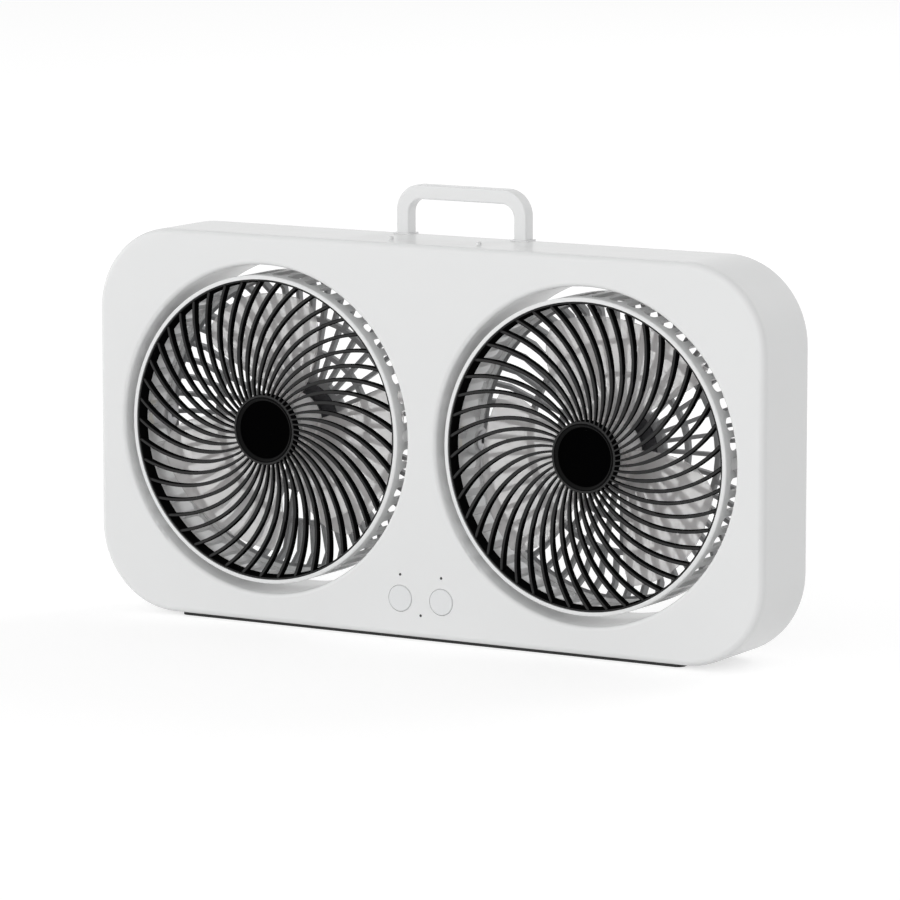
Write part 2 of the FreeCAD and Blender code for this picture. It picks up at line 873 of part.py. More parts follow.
def make_charging_socket():
    body = new_body("charging_socket")
    mouth_y = rear_y - d.fit_gap
    sketch = new_sketch(body, "XZ", mouth_y)
    half_w, half_h = d.socket_width / 2, d.socket_height / 2
    corner = half_h - d.fit_gap / 2
    add_round_box(sketch, -half_w, half_w, inlet_z - half_h, inlet_z + half_h, corner)
    pad(body, sketch, d.socket_depth)
    sketch = new_sketch(body, "XZ", mouth_y - d.socket_depth + d.socket_wall)
    w, h = half_w - d.socket_wall, half_h - d.socket_wall
    add_round_box(sketch, -w, w, inlet_z - h, inlet_z + h, corner - d.socket_wall)
    pocket(body, sketch, d.socket_depth)
    return body


def make_charging_board():
    body = new_body("charging_board")
    top = inlet_z - d.socket_height / 2
    rear = inner_rear_y - d.fit_gap
    half = d.charge_board_width / 2
    sketch = new_sketch(body, "XY", top)
    add_box(sketch, -half, half, rear - d.charge_board_length, rear)
    pad(body, sketch, d.board_thickness, flip=True)
    return body


def place_in_head(body, side):
    """Head pieces are drawn about their own axis, which is Y through the head's middle."""
    place(body, side * half_spacing, 0.0, d.head_height)


def make_bush(label, side, direction):
    """Flanged bush of one trunnion, in the case; direction points from the head's middle outwards."""
    body = new_body(label)
    bore = d.pin_radius + d.pin_gap
    flange_start = drum_radius + d.thrust_gap
    flat = d.throat_radius - d.bush_flange_radius * d.bush_flange_radius / (2 * d.throat_radius)
    flange_end = flat - d.fit_gap
    points = [
        (flange_start, bore), (bush_end, bore), (bush_end, bush_radius),
        (flange_end, bush_radius), (flange_end, d.bush_flange_radius), (flange_start, d.bush_flange_radius),
    ]
    revolve(body, [(direction * x, r) for x, r in points], axis="X")
    place_in_head(body, side)
    return body


def make_pin(label, side, direction):
    """Hollow trunnion pin fixed in the drum's boss."""
    body = new_body(label)
    inner_end = boss_face - d.boss_height
    points = [
        (inner_end - d.pin_head_height, d.pin_bore), (bush_end + d.thrust_gap, d.pin_bore),
        (bush_end + d.thrust_gap, d.pin_radius), (inner_end, d.pin_radius),
        (inner_end, d.pin_head_radius), (inner_end - d.pin_head_height, d.pin_head_radius),
    ]
    revolve(body, [(direction * x, r) for x, r in points], axis="X")
    place_in_head(body, side)
    return body


rim_outer = d.ring_radius - d.fit_gap
cap_pocket_radius = d.hub_radius - d.hub_rim
cap_seat_y = grille_y + d.cap_depth
rim_rear_y = grille_y + d.rim_depth
front_ledge_y = rim_rear_y + d.fit_gap / 2
guard_seat_y = drum_rear_y - d.guard_lap
rear_ledge_y = guard_seat_y - d.fit_gap / 2


def make_drum(label, side):
    body = new_body(label)
    inner = d.ring_radius
    ledge = inner - d.ledge_height
    revolve(
        body,
        [
            (inner, front_y),
            (drum_radius, front_y),
            (drum_radius, drum_rear_y),
            (inner, drum_rear_y),
            (inner, rear_ledge_y),
            (ledge, rear_ledge_y),
            (ledge, rear_ledge_y - d.ledge_width),
            (inner, rear_ledge_y - d.ledge_width),
            (inner, front_ledge_y + d.ledge_width),
            (ledge, front_ledge_y + d.ledge_width),
            (ledge, front_ledge_y),
            (inner, front_ledge_y),
        ],
    )
    fillet(body, d.lip_round, lambda e: is_circle(e, drum_radius) and lies_at_y(e, front_y))
    # Vent slots with round ends, all round the wall
    slot_front = front_y + d.slot_start
    half = d.slot_width / 2
    slot_floor = inner - d.ledge_height / 2
    sketch = new_sketch(body, "XY")
    turn_about_axis(sketch, slot_floor, d.slot_turn)
    add_round_box(sketch, -half, half, slot_front, slot_front + d.slot_length, d.slot_corner)
    slot = pocket(body, sketch, d.ring_wall + d.ledge_height, flip=True)
    around_axis(body, [slot], d.slot_count)
    # Trunnion bosses at both sides
    sketch = new_sketch(body, "YZ", boss_face)
    add_circles(sketch, [(0.0, 0.0)], d.boss_radius)
    boss = pad(body, sketch, d.boss_height, flip=True)
    mirrored(body, [boss])
    sketch = new_sketch(body, "YZ", drum_radius)
    add_circles(sketch, [(0.0, 0.0)], d.pin_radius + d.pin_gap / 2)
    pocket(body, sketch, 2 * drum_radius)
    place_in_head(body, side)
    return body


def spiral_point(radius, rib_angle, hand, offset):
    """A point on the side of a spiral rib: offset is -1 or 1 for its two sides."""
    slope = d.rib_twist * (math.pi / 180) / d.ring_radius
    half_angle = (1 + slope * radius * slope * radius).root() * d.rib_width / (2 * radius) * (180 / math.pi)
    angle = rib_angle + hand * d.rib_twist * (radius / d.ring_radius - 0.5) + offset * half_angle
    return (radius * angle.cosine(), radius * angle.sine())


def make_front_grille(label, side, rib_angle):
    """Rim, hub and spiral ribs; the spiral of the right head is the mirror image of the left one."""
    body = new_body(label)
    rib_rear = grille_y + d.rib_depth
    rim_inner = rim_outer - d.rim_width
    revolve(
        body,
        [
            (0.0, cap_seat_y),
            (cap_pocket_radius, cap_seat_y),
            (cap_pocket_radius, grille_y),
            (rim_outer, grille_y),
            (rim_outer, rim_rear_y),
            (rim_inner, rim_rear_y),
            (rim_inner, rib_rear),
            (0.0, rib_rear),
        ],
    )
    pitch = 360 / d.rib_count
    step = (rim_inner - d.window_radius) / RIB_SPANS
    radii = [d.window_radius + step * i for i in range(RIB_SPANS + 1)]
    near_side = [spiral_point(r, rib_angle, side, 1) for r in radii]
    far_side = [spiral_point(r, rib_angle + pitch, side, -1) for r in reversed(radii)]
    sketch = new_sketch(body, "XZ", rib_rear)
    add_polygon(sketch, near_side + far_side)
    window = pocket(body, sketch, d.rib_depth, flip=True)
    around_axis(body, [window], d.rib_count)
    place_in_head(body, side)
    return body


def make_hub_cap(label, side):
    """Plain dished cap in the grille's hub: a flat floor with a slope that steepens up to the rim."""
    body = new_body(label)
    radius = cap_pocket_radius - d.fit_gap
    edge_y = grille_y + d.dish_edge
    floor_y = grille_y + d.dish_depth
    revolve(
        body,
        [
            (0.0, floor_y),
            (radius - d.dish_slope, floor_y),
            (radius - d.dish_slope / 2, floor_y - (d.dish_depth - d.dish_edge) / 3),
            (radius, edge_y),
            (radius, cap_seat_y),
            (0.0, cap_seat_y),
        ],
    )
    place_in_head(body, side)
    return body


def guard_window(sketch, inner, outer, count):
    """One opening of the rear guard, between two neighbouring ribs with parallel sides."""
    half = d.guard_rib_width / 2
    pitch = 360 / count
    points = []
    for radius, sides in ((inner, (1, -1)), (outer, (-1, 1))):
        along = (radius * radius - half * half).root()
        for sense in sides:
            turn = as_size(0) if sense > 0 else pitch
            points.append(
                (
                    along * turn.cosine() - sense * half * turn.sine(),
                    along * turn.sine() + sense * half * turn.cosine(),
                )
            )
    add_polygon(sketch, points)


def make_rear_guard(label, side):
    """Basket behind the impeller: a rim in the drum's end, bars round the corner, and spokes that carry the motor."""
    body = new_body(label)
    plate_hole = d.motor_tail_radius + d.fit_gap
    rim_inner = rim_outer - d.guard_rim
    corner = d.guard_corner
    revolve(
        body,
        [
            (plate_hole, guard_front_y),
            (rim_inner - corner, guard_front_y),
            (rim_inner, guard_front_y - corner),
            (rim_inner, guard_seat_y),
            (rim_outer, guard_seat_y),
            (rim_outer, guard_rear_y - corner),
            (rim_outer - corner, guard_rear_y),
            (plate_hole, guard_rear_y),
        ],
    )
    half_ring = d.guard_ring_width / 2
    # The outermost windows also cut the basket's side, back from the drum's end
    zones = [
        (d.guard_hub, d.guard_inner_ring - half_ring, d.guard_inner_ribs, guard_front_y),
        (d.guard_inner_ring + half_ring, d.guard_outer_ring - half_ring, d.guard_inner_ribs, guard_front_y),
        (d.guard_outer_ring + half_ring, drum_radius, d.guard_outer_ribs, drum_rear_y),
    ]
    for inner, outer, count, start_y in zones:
        sketch = new_sketch(body, "XZ", start_y)
        guard_window(sketch, inner, outer, count)
        window = pocket(body, sketch, guard_rear_y - start_y)
        around_axis(body, [window], count)
    sketch = new_sketch(body, "XZ", guard_front_y)
    add_circles(sketch, motor_screw_places(), d.motor_screw_radius + d.screw_play)
    pocket(body, sketch, d.guard_depth)
    place_in_head(body, side)
    return body


def motor_screw_places():
    r = d.motor_screw_circle
    return [(r, 0.0), (0.0, r), (-r, 0.0), (0.0, -r)]


motor_front_y = guard_front_y - d.motor_length
motor_bore = d.shaft_radius + d.pin_gap


def make_motor(label, side):
    body = new_body(label)
    nose_y = motor_front_y - d.motor_nose_length
    flange_y = guard_front_y - d.flange_thickness
    revolve(
        body,
        [
            (motor_bore, nose_y),
            (d.motor_nose_radius, nose_y),
            (d.motor_nose_radius, motor_front_y),
            (d.motor_radius, motor_front_y),
            (d.motor_radius, flange_y),
            (d.motor_flange, flange_y),
            (d.motor_flange, guard_front_y),
            (d.motor_tail_radius, guard_front_y),
            (d.motor_tail_radius, guard_rear_y - d.fit_gap),
            (motor_bore, guard_rear_y - d.fit_gap),
        ],
    )
    sketch = new_sketch(body, "XZ", flange_y)
    add_circles(sketch, motor_screw_places(), d.motor_screw_radius + d.screw_play)
    pocket(body, sketch, d.flange_thickness)
    place_in_head(body, side)
    return body


def make_motor_screws(label, side):
    body = new_body(label)
    sketch = new_sketch(body, "XZ", guard_rear_y)
    add_circles(sketch, motor_screw_places(), d.motor_screw_radius)
    pad(body, sketch, d.guard_depth + d.flange_thickness)
    sketch = new_sketch(body, "XZ", guard_rear_y)
    add_circles(sketch, motor_screw_places(), d.motor_screw_radius * 2)
    pad(body, sketch, d.motor_screw_radius, flip=True)
    place_in_head(body, side)
    return body


def make_motor_cover(label, side):
    """Domed cap over the motor's tail and screws, at the back of the guard."""
    body = new_body(label)
    outer = d.guard_hub - d.fit_gap
    wall = d.cover_cap_wall
    top = guard_rear_y + d.cover_cap_height
    slope = d.cover_cap_height / 2
    revolve(
        body,
        [
            (0.0, top),
            (outer - d.cover_cap_height, top),
            (outer - wall / 2, top - slope),
            (outer, guard_rear_y),
            (outer - wall, guard_rear_y),
            (outer - wall * 3 / 2, top - slope - wall / 2),
            (outer - d.cover_cap_height - wall / 2, top - wall),
            (0.0, top - wall),
        ],
    )
    # Vent slots in a ring round the middle
    half = d.cover_slot_width / 2
    slot_inner = d.cover_slot_inner
    sketch = new_sketch(body, "XZ", top)
    add_round_box(sketch, -half, half, slot_inner, slot_inner + d.cover_slot_length, d.cover_slot_corner)
    slot = pocket(body, sketch, wall, flip=True)
    around_axis(body, [slot], d.cover_slot_count)
    place_in_head(body, side)
    return body


hub_front_y = front_y + d.impeller_front


def make_motor_shaft(label, side):
    body = new_body(label)
    sketch = new_sketch(body, "XZ", guard_rear_y - d.fit_gap)
    add_circles(sketch, [(0.0, 0.0)], d.shaft_radius)
    pad(body, sketch, guard_rear_y - d.fit_gap - hub_front_y + d.nut_height)
    place_in_head(body, side)
    return body


def make_impeller_nut(label, side):
    body = new_body(label)
    bore = d.shaft_radius + d.pin_gap / 2
    tip = hub_front_y - d.nut_height
    revolve(
        body,
        [
            (bore, hub_front_y),
            (d.nut_radius, hub_front_y),
            (d.nut_radius, tip + d.nut_height / 3),
            (d.nut_radius - d.nut_height / 3, tip),
            (bore, tip),
        ],
    )
    place_in_head(body, side)
    return body


def impeller_hub():
    """Cup with a bored boss, open at the back over the motor."""
    wall = d.impeller_wall.number
    outer = d.impeller_hub_radius.number
    bore = d.shaft_radius.number + d.pin_gap.number / 2
    boss = d.impeller_boss.number
    front = hub_front_y.number
    floor = front + wall
    rear = front + d.impeller_depth.number
    boss_rear = floor + d.impeller_boss_length.number
    profile = [
        (bore, front), (outer - wall, front), (outer, front + wall), (outer, rear),
        (outer - wall, rear), (outer - wall, floor), (boss, floor), (boss, boss_rear), (bore, boss_rear),
    ]
    wire = Part.makePolygon([FreeCAD.Vector(r, y, 0) for r, y in profile + profile[:1]])
    return Part.Face(wire).revolve(FreeCAD.Vector(0, 0, 0), FreeCAD.Vector(0, 1, 0), 360)


def blade_surface(hand, lift):
    """One skin of a blade through stations worked out across its chord and along its radius."""
    root = d.impeller_hub_radius.number - d.impeller_wall.number / 2
    tip = d.tip_radius.number
    middle_y = hub_front_y.number + d.impeller_depth.number / 2
    rows = []
    for i in range(BLADE_RADIUS_STATIONS):
        along = i / (BLADE_RADIUS_STATIONS - 1)
        radius = root + (tip - root) * along
        rise = d.blade_root_rise.number + (d.blade_tip_rise.number - d.blade_root_rise.number) * along
        span = d.blade_span.number * (1 - d.blade_tip_trim.number * along ** BLADE_TRIM_POWER)
        row = []
        for j in range(BLADE_CHORD_STATIONS):
            across = j / (BLADE_CHORD_STATIONS - 1) - 0.5
            angle = math.radians(hand * (span * across + d.blade_sweep.number * along))
            camber = d.blade_camber.number * along * (1 - 4 * across * across)
            y = middle_y + rise * across - camber + lift
            row.append(FreeCAD.Vector(radius * math.sin(angle), y, radius * math.cos(angle)))
        rows.append(row)
    surface = Part.BSplineSurface()
    surface.interpolate(rows)
    return surface


def make_blade(hand):
    """Two skins joined by ruled edges into a closed blade."""
    half = d.blade_thickness.number / 2
    front, back = blade_surface(hand, -half), blade_surface(hand, half)
    u0, u1, v0, v1 = front.bounds()
    faces = [front.toShape(), back.toShape()]
    for u in (u0, u1):
        faces.append(Part.makeRuledSurface(front.uIso(u).toShape(), back.uIso(u).toShape()))
    for v in (v0, v1):
        faces.append(Part.makeRuledSurface(front.vIso(v).toShape(), back.vIso(v).toShape()))
    shell = Part.Shell(faces)
    shell.sewShape()
    solid = Part.makeSolid(Part.Shell(shell.Faces))
    if solid.Volume < 0:
        solid.reverse()
    return solid


def make_impeller(label, side):
    blade = make_blade(side)
    axis = FreeCAD.Vector(0, 1, 0)
    count = int(d.blade_count.number)
    turned = []
    for i in range(count):
        copy = blade.copy()
        copy.rotate(FreeCAD.Vector(0, 0, 0), axis, 360 * i / count)
        turned.append(copy)
    thing = doc.addObject("Part::Feature", "Solid_" + label)
    thing.Label = label
    thing.Shape = impeller_hub().fuse(turned).Solids[0]
    place_in_head(thing, side)
    return thing


def make_head(name, side, rib_angle):
    """All pieces of one fan head and its trunnions; side is -1 for the left head, 1 for the right one."""
    return [
        make_drum(name + "_drum", side),
        make_front_grille(name + "_front_grille", side, rib_angle),
        make_hub_cap(name + "_hub_cap", side),
        make_rear_guard(name + "_rear_guard", side),
        make_motor(name + "_motor", side),
        make_motor_screws(name + "_motor_screws", side),
        make_motor_cover(name + "_motor_cover", side),
        make_motor_shaft(name + "_motor_shaft", side),
        make_impeller(name + "_impeller", side),
        make_impeller_nut(name + "_impeller_nut", side),
        make_pin(name + "_outer_pin", side, side),
        make_pin(name + "_inner_pin", side, -side),
        make_bush(name + "_outer_bush", side, side),
        make_bush(name + "_inner_bush", side, -side),
    ]


def make_fan():
    pieces = [
        make_front_housing(),
        make_rear_cover(),
        make_base_pad(),
        make_housing_screws(),
        make_top_studs(),
        make_handle(),
        make_handle_sleeves(),
        make_button("left_button", -1),
        make_button("right_button", 1),
        make_control_board(),
        make_button_switches(),
        make_indicator_lights(),
        make_battery_cells(),
        make_battery_tray(),
        make_charging_board(),
        make_charging_socket(),
    ]
    pieces += make_head("left", -1, d.rib_angle)
    pieces += make_head("right", 1, 180 - d.rib_angle)
    return pieces


def check(pieces):
    """Stop before anything is written if a feature failed, cut nothing or left no valid solid."""
    for thing in doc.Objects:
        if "Invalid" in thing.State or "Error" in thing.State:
            raise RuntimeError(f"{thing.Label} ({thing.Name}) failed: {thing.State}")
        if thing.TypeId == "PartDesign::Pocket" and thing.Shape.Volume >= thing.BaseFeature.Shape.Volume:
            raise RuntimeError(f"{thing.Label} ({thing.Name}) cuts nothing")
    for piece in pieces:
        if piece.Shape.isNull() or not piece.Shape.isValid() or not piece.Shape.Solids:
            raise RuntimeError(f"{piece.Label} has no valid solid")


def write(pieces):
    os.makedirs("parts", exist_ok=True)
    for piece in pieces:
        piece.Shape.exportStep(f"parts/{piece.Label}.step")


fan = make_fan()
doc.recompute()
check(fan)
write(fan)
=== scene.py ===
"""Looks of a twin-head desk fan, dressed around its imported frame.

Lengths are metres in the frame's own axes: +Z up, +X to the right seen from the front, the front
towards -Y.
"""

import json
import logging
import math
from dataclasses import dataclass, field
from enum import Enum
from typing import Any, Iterable, Mapping, Optional, Union

import bmesh
import bpy
import numpy as np
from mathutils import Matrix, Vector


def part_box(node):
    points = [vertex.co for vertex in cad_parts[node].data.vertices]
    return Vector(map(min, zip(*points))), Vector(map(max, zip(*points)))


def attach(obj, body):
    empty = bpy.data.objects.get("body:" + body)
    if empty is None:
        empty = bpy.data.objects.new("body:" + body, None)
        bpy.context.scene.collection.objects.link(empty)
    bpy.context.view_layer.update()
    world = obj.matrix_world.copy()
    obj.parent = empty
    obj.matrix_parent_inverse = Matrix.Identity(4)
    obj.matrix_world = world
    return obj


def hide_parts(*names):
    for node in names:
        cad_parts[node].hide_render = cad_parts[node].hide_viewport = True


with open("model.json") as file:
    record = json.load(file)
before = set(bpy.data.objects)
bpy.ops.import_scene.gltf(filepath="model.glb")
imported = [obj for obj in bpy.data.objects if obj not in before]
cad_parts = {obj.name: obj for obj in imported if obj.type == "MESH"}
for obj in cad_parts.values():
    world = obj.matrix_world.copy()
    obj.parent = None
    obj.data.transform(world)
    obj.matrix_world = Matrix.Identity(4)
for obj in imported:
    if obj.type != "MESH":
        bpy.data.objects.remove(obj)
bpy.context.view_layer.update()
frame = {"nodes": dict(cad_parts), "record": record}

LOG = logging.getLogger("desk_fan")
MM = 0.001
# Points nearer than this are one point
WELD = 1e-6
# How strongly the finer layers of cloudy noise show
NOISE_ROUGHNESS = 0.55
# The most of a side that the curve of one corner takes
CORNER_SHARE = 0.45
WHITE = (1.0, 1.0, 1.0)
BLACK = (0.0, 0.0, 0.0)

Colour = tuple[float, float, float]
Array = np.ndarray


class Side(Enum):
    """The two fan heads; the value is the sign of X on which the head sits."""

    LEFT = -1
    RIGHT = 1

    @property
    def word(self) -> str:
        """The prefix that the head's nodes carry."""
        return self.name.lower()


class Signal:
    """A node's output socket that takes part in arithmetic: each operator adds one Math node."""

    def __init__(self, net: "Net", socket: bpy.types.NodeSocket) -> None:
        """Hold a socket and the net it belongs to.

        Args:
            net: the net that makes further nodes.
            socket: the output socket.
        """
        self.net = net
        self.socket = socket

    def math(self, operation: str, *values: Any) -> "Signal":
        """Add one Math node.

        Args:
            operation: the node's operation.
            values: its inputs in order, signals or numbers.

        Returns:
            The node's result.
        """
        return self.net.add("ShaderNodeMath", {"operation": operation}, dict(enumerate(values)))

    def __add__(self, other: Any) -> "Signal":
        """Sum with a signal or number."""
        return self.math("ADD", self, other)

    def __sub__(self, other: Any) -> "Signal":
        """Difference from a signal or number."""
        return self.math("SUBTRACT", self, other)

    def __rsub__(self, other: Any) -> "Signal":
        """A number minus this signal."""
        return self.math("SUBTRACT", other, self)

    def __mul__(self, other: Any) -> "Signal":
        """Product with a signal or number."""
        return self.math("MULTIPLY", self, other)

    def highest(self, other: Any) -> "Signal":
        """The greater of two signals."""
        return self.math("MAXIMUM", self, other)

    def above(self, limit: float) -> "Signal":
        """One where this signal is over the limit, zero elsewhere."""
        return self.math("GREATER_THAN", self, limit)


class Net:
    """A node tree that is written as expressions."""

    def __init__(self, tree: bpy.types.NodeTree) -> None:
        """Start from an empty tree.

        Args:
            tree: the tree of a material, of the world or of a modifier.
        """
        self.tree = tree
        tree.nodes.clear()

    def add(
        self,
        kind: str,
        settings: Optional[Mapping[str, Any]] = None,
        inputs: Optional[Mapping[Union[str, int], Any]] = None,
        output: Union[str, int] = 0,
    ) -> Optional[Signal]:
        """Make one node.

        Args:
            kind: the node's type.
            settings: its properties, set first.
            inputs: values or signals by socket name or number.
            output: the output socket that is returned.

        Returns:
            The chosen output, or nothing for a node that ends a tree.
        """
        node = self.tree.nodes.new(kind)
        for name, value in (settings or {}).items():
            setattr(node, name, value)
        for name, value in (inputs or {}).items():
            if isinstance(value, Signal):
                self.tree.links.new(value.socket, node.inputs[name])
            elif isinstance(value, tuple) and node.inputs[name].type == "RGBA":
                node.inputs[name].default_value = (*value, 1.0)
            else:
                node.inputs[name].default_value = value
        return Signal(self, node.outputs[output]) if len(node.outputs) else None

    def place(self) -> Signal:
        """Object coordinates, the same for every piece because all sit at the origin."""
        return self.add("ShaderNodeTexCoord", output="Object")

    def noise(self, size: float, detail: float = 2.0, at: Optional[Signal] = None) -> Signal:
        """Cloudy noise from 0 to 1.

        Args:
            size: the width of one patch in metres.
            detail: how many finer layers are added.
            at: coordinates, by default the object's own.

        Returns:
            The noise.
        """
        return self.add(
            "ShaderNodeTexNoise",
            {"noise_dimensions": "3D"},
            {
                "Vector": at or self.place(),
                "Scale": 1.0 / size,
                "Detail": detail,
                "Roughness": NOISE_ROUGHNESS,
            },
        )

    def mix(self, factor: Any, first: Any, second: Any) -> Signal:
        """Blend two colours.

        Args:
            factor: share of the second colour.
            first: colour or signal.
            second: colour or signal.

        Returns:
            The blended colour.
        """
        return self.add(
            "ShaderNodeMix",
            {"data_type": "RGBA", "blend_type": "MIX"},
            {0: factor, 6: first, 7: second},
            output=2,
        )

    def bump(self, height: Signal, depth: float) -> Signal:
        """Normal of a finely uneven surface.

        Args:
            height: unevenness from 0 to 1.
            depth: its depth in metres.

        Returns:
            The normal.
        """
        return self.add(
            "ShaderNodeBump",
            None,
            {"Height": height, "Distance": depth, "Strength": 1.0},
            output="Normal",
        )

    def stretched(self, scale: tuple[float, float, float]) -> Signal:
        """Object coordinates stretched along the axes.

        Args:
            scale: the factor along each axis.

        Returns:
            The coordinates.
        """
        return self.add("ShaderNodeMapping", None, {"Vector": self.place(), "Scale": scale})


@dataclass(frozen=True)
class Finish:
    """A moulded surface: a colour that drifts a little, a fine grain and uneven gloss."""

    name: str
    colour: Colour
    roughness: float
    drift: float = 0.03
    drift_size: float = 60 * MM
    gloss_change: float = 0.06
    grain_size: float = 0.5 * MM
    grain_depth: float = 0.006 * MM
    speck: float = 0.0
    speck_grains: float = 3.0
    speck_limit: float = 0.62
    metallic: float = 0.0
    coat: float = 0.0
    specular: float = 0.5

    def base(self, net: Net) -> Signal:
        """Colour that drifts slowly from deeper to paler, with fine dark specks where asked for."""
        low = tuple(c * (1 - self.drift) for c in self.colour)
        high = tuple(min(1.0, c * (1 + self.drift)) for c in self.colour)
        colour = net.mix(net.noise(self.drift_size, 3.0), low, high)
        if self.speck:
            specks = net.noise(self.grain_size * self.speck_grains, 1.0).above(self.speck_limit)
            colour = net.mix(specks * self.speck, colour, BLACK)
        return colour

    def gloss(self, net: Net) -> Signal:
        """Roughness that varies in soft patches, a quarter as wide as those of the colour."""
        return self.uneven(net.noise(self.drift_size / 4, 2.0))

    def uneven(self, noise: Signal) -> Signal:
        """Roughness that follows a noise, evenly to both sides of the finish's own."""
        return noise * self.gloss_change + (self.roughness - self.gloss_change / 2)

    def relief(self, net: Net) -> Signal:
        """The grain of the mould."""
        return net.bump(net.noise(self.grain_size, 2.0), self.grain_depth)

    def shader(self, net: Net) -> Signal:
        """The whole surface.

        Args:
            net: the material's net.

        Returns:
            The shader.
        """
        return net.add(
            "ShaderNodeBsdfPrincipled",
            None,
            {
                "Base Color": self.base(net),
                "Roughness": self.gloss(net),
                "Metallic": self.metallic,
                "Coat Weight": self.coat,
                "Specular IOR Level": self.specular,
                "Normal": self.relief(net),
                **self.extras(net),
            },
        )

    def extras(self, net: Net) -> dict[str, Any]:
        """Further sockets that only some finishes use."""
        return {}

    def material(self) -> bpy.types.Material:
        """The material of this finish, made once."""
        found = bpy.data.materials.get(self.name)
        if found:
            return found
        made = bpy.data.materials.new(self.name)
        made.use_nodes = True
        net = Net(made.node_tree)
        net.add("ShaderNodeOutputMaterial", None, {"Surface": self.shader(net)})
        return made


@dataclass(frozen=True)
class SmokedPlastic(Finish):
    """Smoky clear plastic: the thin blades show what lies behind them, the cup hardly does."""

    head_x: float = 120.4 * MM
    head_z: float = 130.5 * MM
    cup_radius: float = 22 * MM
    blade_start: float = 25 * MM
    cup_cover: float = 0.95
    blade_cover: float = 0.47
    depth: float = 4 * MM

    def extras(self, net: Net) -> dict[str, Any]:
        """Cover that falls from the cup to the blades with the distance from the nearer fan axis.

        Args:
            net: the material's net.

        Returns:
            The cover, and the light that spreads inside the plastic.
        """
        width = net.add("ShaderNodeSeparateXYZ", None, {0: net.place()}, output="X")
        height = net.add("ShaderNodeSeparateXYZ", None, {0: net.place()}, output="Z")
        across, up = width.math("ABSOLUTE", width) - self.head_x, height - self.head_z
        squares = across * across + up * up
        radius = squares.math("SQRT", squares)
        share = net.add(
            "ShaderNodeMapRange",
            {"interpolation_type": "SMOOTHSTEP"},
            {
                "Value": radius,
                "From Min": self.cup_radius,
                "From Max": self.blade_start,
                "To Min": self.cup_cover,
                "To Max": self.blade_cover,
            },
        )
        return {
            "Alpha": share,
            "Subsurface Weight": 1.0,
            "Subsurface Radius": WHITE,
            "Subsurface Scale": self.depth,
        }


@dataclass(frozen=True)
class DrawnMetal(Finish):
    """Bare metal with fine lines along one axis."""

    line_scale: tuple[float, float, float] = (1.0, 0.04, 1.0)

    def gloss(self, net: Net) -> Signal:
        """Roughness that follows the lines."""
        return self.uneven(self.lines(net))

    def relief(self, net: Net) -> Signal:
        """Shallow lines left by drawing the metal."""
        return net.bump(self.lines(net), self.grain_depth)

    def lines(self, net: Net) -> Signal:
        """Noise drawn out along the lines."""
        return net.noise(self.grain_size, 2.0, net.stretched(self.line_scale))


@dataclass(frozen=True)
class Laminate(Finish):
    """A lacquered circuit board with copper tracks under the lacquer."""

    track: Colour = (0.08, 0.3, 0.14)
    track_size: float = 3 * MM
    track_width: float = 0.12

    def base(self, net: Net) -> Signal:
        """Lacquer colour with paler tracks along the edges of rounded cells."""
        cells = net.add(
            "ShaderNodeTexVoronoi",
            {"feature": "DISTANCE_TO_EDGE", "distance": "EUCLIDEAN"},
            {"Vector": net.place(), "Scale": 1.0 / self.track_size},
        )
        return net.mix(1 - cells.above(self.track_width), self.colour, self.track)


CASE = Finish("case_plastic", (0.80, 0.805, 0.805), 0.24, drift=0.008, grain_depth=0.002 * MM)
BUTTON = Finish("button_plastic", (0.77, 0.78, 0.785), 0.34, drift=0.01, grain_depth=0.003 * MM)
GRILLE = Finish(
    "grille_plastic", (0.004, 0.004, 0.0042), 0.3, drift=0.25, grain_depth=0.004 * MM, specular=0.42
)
# The same black with its reflection taken away, for faces that do not face the front: painted shade
# on the sides of the ribs, rim and hub
GRILLE_PAINTED_SHADE = Finish(
    "grille_side_painted_shade", (0.004, 0.004, 0.0042), 0.5, drift=0.25, grain_depth=0.008 * MM, specular=0.0
)
DISC = Finish(
    "disc_plastic",
    (0.0006, 0.0006, 0.0007),
    0.3,
    drift=0.25,
    grain_depth=0.002 * MM,
    specular=0.005,
)
DISH = Finish(
    "dish_plastic", (0.0006, 0.0006, 0.0007), 0.16, drift=0.25, grain_depth=0.002 * MM, specular=0.1
)
GUARD = Finish("guard_plastic", (0.28, 0.285, 0.29), 0.5, drift=0.08, grain_depth=0.012 * MM)
BLADE = SmokedPlastic("blade_plastic", (0.98, 0.905, 0.9), 0.22, drift=0.03, grain_depth=0.002 * MM)
RUBBER = Finish(
    "pad_rubber", (0.02, 0.02, 0.02), 0.75, drift=0.3, grain_size=0.8 * MM, grain_depth=0.05 * MM
)
SCREW = DrawnMetal("screw_steel", (0.55, 0.55, 0.56), 0.35, metallic=1.0, grain_size=0.4 * MM)
PIN = DrawnMetal("pin_steel", (0.6, 0.6, 0.61), 0.28, metallic=1.0, grain_size=0.4 * MM)
CAN = Finish("motor_paint", (0.06, 0.06, 0.065), 0.45, drift=0.1, speck=0.3, grain_depth=0.01 * MM)
BUSH = Finish("bush_plastic", (0.8, 0.78, 0.72), 0.45, drift=0.03)
BOARD = Laminate("board_lacquer", (0.03, 0.16, 0.07), 0.35)
SWITCH = Finish("switch_plastic", (0.03, 0.03, 0.03), 0.5, drift=0.2)
LAMP = Finish("lamp_window", (0.02, 0.02, 0.02), 0.15, drift=0.2, coat=0.5)
CELL = Finish("cell_wrap", (0.05, 0.15, 0.35), 0.3, drift=0.05, coat=0.3)
TRAY = Finish("tray_plastic", (0.3, 0.3, 0.3), 0.55, drift=0.05)

